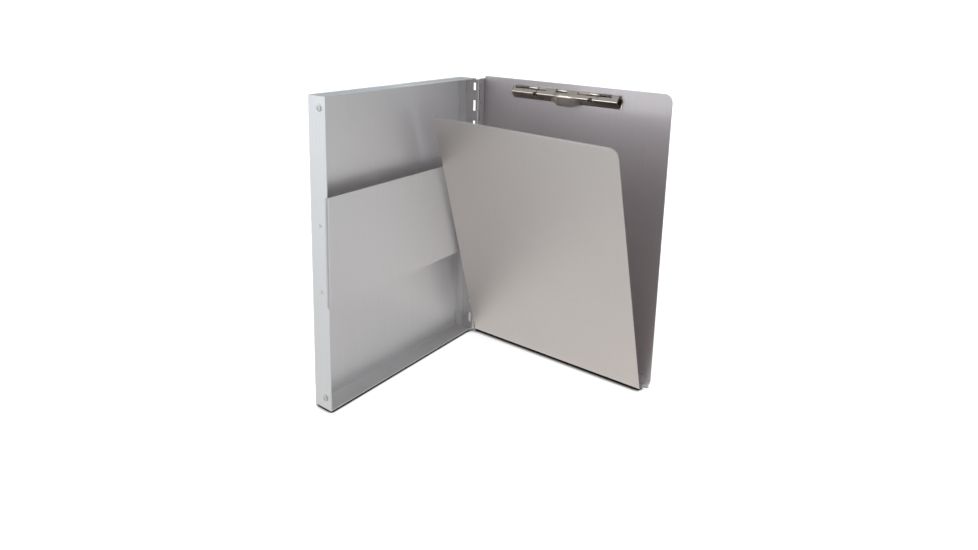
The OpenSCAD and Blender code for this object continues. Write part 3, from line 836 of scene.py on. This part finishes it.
def tab_pull(u, down):
    """1 on the thumb tab, 0 away from it, at the share `down` of the way to its toe."""
    flat = TAB_HEAD + TAB_SPREAD * ease(down * 1.5)
    return ease(1 - (abs(u - TAB_MID) - flat) / TAB_FLARE)


def knurl(u, z):
    """Height of the diamond knurl over the tab's face."""
    along = u - TAB_MID
    up = z - KNURL_Z
    if abs(along) > KNURL_HALF_W or abs(up) > KNURL_HALF_H:
        return 0.0
    rising = math.sin(math.pi * (along + up) / KNURL_PITCH)
    falling = math.sin(math.pi * (along - up) / KNURL_PITCH)
    return KNURL_RISE * abs(rising * falling)


shoulder = [round(tab_pull(TAB_MID + off, 1.0), 2) for off in (0, 8, 14, 20)]
print("pull at the toe, outwards from the middle", shoulder)

# %% [markdown]
# ## Curls, slits and holes
# Only some stretches of the jaw reach up to the rod. Between them the base's curls
# and the springs have their room, and at the ends of those curls short slits let
# the sheet bend without tearing. Two holes let the rivet tool through. All of
# these are places along the jaw, so they are listed once, and the columns of the
# mesh are set exactly on their ends.

# %% Stations along the jaw
CURLS = [(jaw_near, 50.25), (92.8, 104.8), (120.3, 133.35), (174.75, jaw_far)]
ROLLS = [(jaw_near, 50.25), (81.2, 104.8), (120.3, 146.4), (174.75, jaw_far)]
SLITS = (80.6, 120.05, 158.7)
SLIT_W = 0.7
SLIT_L = 1.7
ACCESS = [(79.25, 317.8), (150.75, 317.8)]
ACCESS_R = 3.0
TAB_REACH = 22           # just past the ends of the tab's shoulders
TAB_FINE = 7             # the knurl needs fine columns this far out
HOLE_FINE = 4.0          # and so does each hole
FINE_STEP = 0.35
PLAIN_STEP = 1.2


def jaw_columns():
    """Places along the jaw: every curl end exactly, fine steps over the tab and the holes."""
    marks = sorted({m for pair in CURLS + ROLLS for m in pair}
                   | {TAB_MID - TAB_REACH, TAB_MID - TAB_FINE, TAB_MID + TAB_FINE,
                      TAB_MID + TAB_REACH}
                   | {u + side * HOLE_FINE for u, _ in ACCESS for side in (-1, 1)}
                   | {u + side * SLIT_W / 2 for u in SLITS for side in (-1, 1)})
    stations = [marks[0]]
    for a, b in zip(marks, marks[1:]):
        middle = (a + b) / 2
        on_tab = abs(middle - TAB_MID) < TAB_FINE
        at_hole = any(abs(middle - u) < HOLE_FINE for u, _ in ACCESS)
        step = FINE_STEP if on_tab or at_hole else PLAIN_STEP
        stations += list(np.linspace(a, b, max(2, round((b - a) / step)) + 1)[1:])
    return stations


columns = jaw_columns()
print("columns", len(columns), "from", round(columns[0], 2), "to", round(columns[-1], 2), "mm")

# %% [markdown]
# ## Sweeping the section along
# The section is repeated at every station, and where the tab is, each point moves
# over from the plain line towards the tab's line by as much as the press pulls
# there. The knurl then lifts it a little off the cover.

# %% Jaw: middle surface
def jaw_surface():
    """Points (u, n, z) of the jaw's middle: the section swept along, and pulled out at the tab."""
    surface = np.zeros((len(root) + len(face), len(columns), 3))
    for j, u in enumerate(columns):
        for i, p in enumerate(root):
            surface[i, j] = (u, p.x, p.y)
        for i, (plain, pulled) in enumerate(zip(face, tab)):
            p = plain.lerp(pulled, tab_pull(u, i / FACE_ROWS))
            surface[len(root) + i, j] = (u, p.x + knurl(u, p.y), p.y)
    return surface


surface = jaw_surface()
print("middle surface", surface.shape[0], "by", surface.shape[1], "points")

# %% [markdown]
# ## Round holes in a square grid
# Leaving cells out of a grid gives holes with stepped rims. A Boolean cut would be
# round, but it leaves slivers in the thin shell. So the points that lie close to
# the rim are first moved onto the circle, and then the cells inside it are left
# out. The two holes come out round, and the sheet keeps its four-sided faces.

# %% Round the holes
RIM_CATCH = 0.19         # points this close to the rim are moved onto it


def round_holes():
    """Moves the points near a hole's rim onto it. Gives each point's distance from a hole."""
    rising = [p.y for p in face][::-1]
    standing = [p.x for p in face][::-1]
    reach = np.full(surface.shape[:2], 99.0)
    for hole_u, hole_z in ACCESS:
        for i in range(len(root), surface.shape[0]):
            for j in range(surface.shape[1]):
                aside = surface[i, j, 0] - hole_u
                rise = surface[i, j, 2] - hole_z
                away = math.hypot(aside, rise)
                if abs(away - ACCESS_R) < RIM_CATCH:
                    z = hole_z + rise * (ACCESS_R / away)
                    surface[i, j] = (hole_u + aside * ACCESS_R / away,
                                     np.interp(z, rising, standing), z)
                    away = ACCESS_R
                reach[i, j] = min(reach[i, j], away)
    return reach


reach = round_holes()
print("points on the two rims", int((reach == ACCESS_R).sum()))

# %% [markdown]
# ## Which cells are metal
# The grid now covers the whole jaw like an uncut blank. Punching it is a matter of
# saying which cells stay: the curls and the rolls of the slope above, and the face
# below without its holes and slits.

# %% Cells of the jaw
def within(spans, low, high):
    """True where the stretch from low to high lies in one of the spans."""
    return any(a - 0.01 <= low and high <= b + 0.01 for a, b in spans)


def jaw_cells():
    """Which cells are metal: the curls and rolls above, and the face without holes and slits."""
    start = len(root)
    keep = np.ones((surface.shape[0] - 1, len(columns) - 1), bool)
    for j, (low, high) in enumerate(zip(columns, columns[1:])):
        keep[:CURL_ROWS, j] = within(ROLLS, low, high)
        keep[CURL_ROWS:start, j] = within(CURLS, low, high)
        slit = any(abs((low + high) / 2 - u) < SLIT_W / 2 for u in SLITS)
        for i in range(start, surface.shape[0] - 1):
            _, n, z = surface[i, j]
            if reach[i:i + 2, j:j + 2].max() <= ACCESS_R + 0.01:
                keep[i, j] = False
            if slit and n < SLOT_EDGE + SLIT_L and z > RIDGE.y:
                keep[i, j] = False
    return keep


keep = jaw_cells()
print("cells kept", int(keep.sum()), "of", keep.size)

# %% [markdown]
# ## Pressing the jaw
# With the surface and its cells ready, the jaw is made in one go by the same sheet
# maker as the writing sheet, in nickel. It rides on the jaw's own body, so it opens
# on the rod when the box is posed.

# %% Clip jaw
jaw_grid = [[on_cover(*point) for point in row] for row in surface]
jaw = bent_sheet("thumb_jaw", jaw_grid, CLIP_T / 1000, nickel, keep, edge=0.00008)
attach(jaw, "jaw")
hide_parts("clip_jaw")
print("clip jaw", len(jaw.data.polygons), "faces")

# %% [markdown]
# ## Springs on the rod
# Two close-wound springs push the jaw down. Each is one length of wire: a leg that
# bears on the base, the coil round the rod and a leg under the slope of the jaw. A
# tube with rings painted on would look wrong up close, so the wire is really wound.
# A curve with a round bevel makes the wire, and it is turned into a mesh at once,
# so that the springs are the same kind of object as all the other pieces.

# %% Wire
WIRE_R = 0.25


def wire(name, route, radius, finish):
    """Round wire along a list of points, with eight sides."""
    curve = bpy.data.curves.new(name, "CURVE")
    curve.dimensions = "3D"
    curve.bevel_depth = radius / 1000
    curve.bevel_resolution = 2
    curve.use_fill_caps = True
    line = curve.splines.new("POLY")
    line.points.add(len(route) - 1)
    for point, place in zip(line.points, route):
        point.co = (*place, 1)
    drawn = bpy.data.objects.new(name, curve)
    bpy.context.scene.collection.objects.link(drawn)
    mesh = bpy.data.meshes.new_from_object(drawn)
    mesh.materials.clear()
    mesh.materials.append(finish)
    mesh.shade_smooth()
    bpy.data.objects.remove(drawn)
    body = bpy.data.objects.new(name, mesh)
    bpy.context.scene.collection.objects.link(body)
    return body


print("wire", WIRE_R * 2, "mm thick")

# %% [markdown]
# ## Winding the springs
# A spring is laid out as its winder would: start at the leg on the base, go round
# the rod so many times that the turns lie close, and end in the leg under the jaw's
# slope. How many turns fit follows from the room that the frame gives the spring.

# %% Wind the springs
COIL_R = 1.24
TURN_GAP = 0.03
TURN_STEPS = 14
BASE_LEG_N = 1.12        # the leg on the base lies this far off the cover
JAW_LEG_OFF = 0.45       # the other leg runs this far off the line from rod to ridge
JAW_LEG_ENDS = (1.6, 6.0)    # where that leg starts and ends, measured from the rod


def clip_spring(name, node):
    """A leg on the base, the coil round the rod, and a leg under the jaw's slope."""
    low, high = (mm(c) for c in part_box(node))
    start_u = -high[1] + WIRE_R
    end_u = -low[1] - WIRE_R
    turns = int((end_u - start_u) / (2 * WIRE_R + TURN_GAP))
    slope = (RIDGE - ROD).normalized()
    first = math.radians(225)
    last = math.radians(45) + math.tau * turns
    steps = turns * TURN_STEPS
    route = [on_cover(start_u, BASE_LEG_N, low[2] + WIRE_R)]
    for i in range(steps + 1):
        angle = first + (last - first) * i / steps
        route.append(on_cover(start_u + (end_u - start_u) * i / steps,
                              ROD.x + COIL_R * math.cos(angle), ROD.y + COIL_R * math.sin(angle)))
    beside = turned_by(slope, 90) * JAW_LEG_OFF
    for far in JAW_LEG_ENDS:
        point = ROD + beside + slope * far
        route.append(on_cover(end_u, point.x, point.y))
    spring = wire(name, route, WIRE_R, steel)
    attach(spring, "cover")
    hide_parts(node)
    return spring


spring_near = clip_spring("spring_near", "clip_spring_left")
spring_far = clip_spring("spring_far", "clip_spring_right")
print("springs", [len(s.data.polygons) for s in (spring_near, spring_far)], "faces")

# %% [markdown]
# ## Corner rivets
# The tray's corner tabs are held by blind rivets. Setting one leaves a low flat
# head with a crisp rim and a small well where the mandrel snapped, and dishes the
# soft sheet around it. Each rivet is a profile turned on its own axis, and the
# dished ring is a second, very shallow turning on the wall. The Spin tool would
# turn them too, but plain rings are easier to close at both ends.

# %% Turning a profile
TURN_SIDES = 48


def turned(name, profile, centre, finish):
    """A profile of (radius, height) turned round an axis that points out of the free wall."""
    made = bmesh.new()
    rings = []
    for radius, height in profile:
        ring = []
        for k in range(TURN_SIDES):
            a = math.tau * k / TURN_SIDES
            ring.append(made.verts.new(at(centre[0] - height, centre[1] + radius * math.cos(a),
                                          centre[2] + radius * math.sin(a))))
        rings.append(ring)
    for low, high in zip(rings, rings[1:]):
        for k in range(TURN_SIDES):
            after = (k + 1) % TURN_SIDES
            made.faces.new((low[k], low[after], high[after], high[k]))
    made.faces.new(rings[0])
    made.faces.new(rings[-1])
    bmesh.ops.recalc_face_normals(made, faces=made.faces)
    return object_from(made, name, finish, crease=40)


print("turnings have", TURN_SIDES, "sides")

# %% [markdown]
# ## The rivet's profile
# A profile is read like half a section drawing, from the tail inside the wall,
# along the shank, under the head, over its rim and down into the mandrel's well.
# The swell of the dished ring is half a sine wave, a tenth of a millimetre high:
# it is only there for the light to bend over.

# %% Rivet and ring profiles
rivet_low, rivet_high = (mm(c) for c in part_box("tray_corner_rivets"))
WALL_X = -238.25
HEAD_R = 3.2
RING_R = 4.6
RING_W = 2.0
RING_H = 0.10
RING_SUNK = 0.005        # its rims lie just under the wall's face
RING_STEPS = 8
head_h = WALL_X - rivet_low[0]
tail_h = rivet_high[0] - WALL_X
RIVET_PROFILE = [(0.2, -tail_h), (1.9, -tail_h), (2.2, -tail_h + 0.3), (2.2, -tail_h + 1.0),
                 (1.7, -tail_h + 1.2), (1.7, 0.1), (HEAD_R - 0.4, 0.12), (HEAD_R, 0.35),
                 (HEAD_R - 0.15, head_h - 0.12), (HEAD_R - 0.45, head_h), (1.3, head_h - 0.04),
                 (1.05, head_h - 0.3), (0.1, head_h - 0.34)]


def ring_profile():
    """A low round swell between two radii, closed just inside the wall."""
    swell = []
    for i in range(RING_STEPS + 1):
        part = i / RING_STEPS
        swell.append((RING_R + RING_W * part, RING_H * math.sin(math.pi * part) - RING_SUNK))
    return [(RING_R, -RING_H)] + swell + [(RING_R + RING_W, -RING_H)]


print("rivet head", round(head_h, 2), "mm high, ring", max(h for _, h in ring_profile()), "mm")

# %% [markdown]
# ## Setting the rivets
# Both rivets sit on one line behind the rim, one near each end of the free wall.
# Each is placed by the box of the frame's own rivets, so it stays in its hole.

# %% Corner rivets
rivet_y = (rivet_low[1] + rivet_high[1]) / 2
for tag, z in (("low", rivet_low[2] + HEAD_R), ("high", rivet_high[2] - HEAD_R)):
    head = turned(f"corner_rivet_{tag}", RIVET_PROFILE, (WALL_X, rivet_y, z), rivet_metal)
    dish = turned(f"corner_dish_{tag}", ring_profile(), (WALL_X, rivet_y, z), aluminium)
    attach(head, "tray")
    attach(dish, "tray")
    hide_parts("tray_corner_rivets")
print("corner rivets at y", round(rivet_y, 2), "mm from the pin")

# %% [markdown]
# ## Broken edges
# Sheared edges are never razor sharp: a file or a tumbler breaks them, and that
# narrow facet is what catches the light along every rim. The frame's own meshes
# get it from a small bevel, so their shapes stay as they were built. The strap
# goes without, because a bevel draws dark and white lines where its wide round
# bends run into its edges.

# %% Edge breaks
EDGE_BREAK = 0.00018
EDGED = ("tray_pan", "cover_panel", "clip_base")


def break_edges(name, width):
    """A narrow facet along every sharp edge of one of the frame's pieces."""
    node = nodes[name]
    weld = node.modifiers.new("weld", "WELD")
    weld.merge_threshold = 1e-6
    bevel = node.modifiers.new("broken_edge", "BEVEL")
    bevel.width = width
    bevel.segments = 2
    bevel.limit_method = "ANGLE"
    bevel.angle_limit = math.radians(50)
    bevel.harden_normals = False


for name in EDGED:
    break_edges(name, EDGE_BREAK)
print("edges broken by", round(EDGE_BREAK * 1000, 2), "mm on", EDGED)
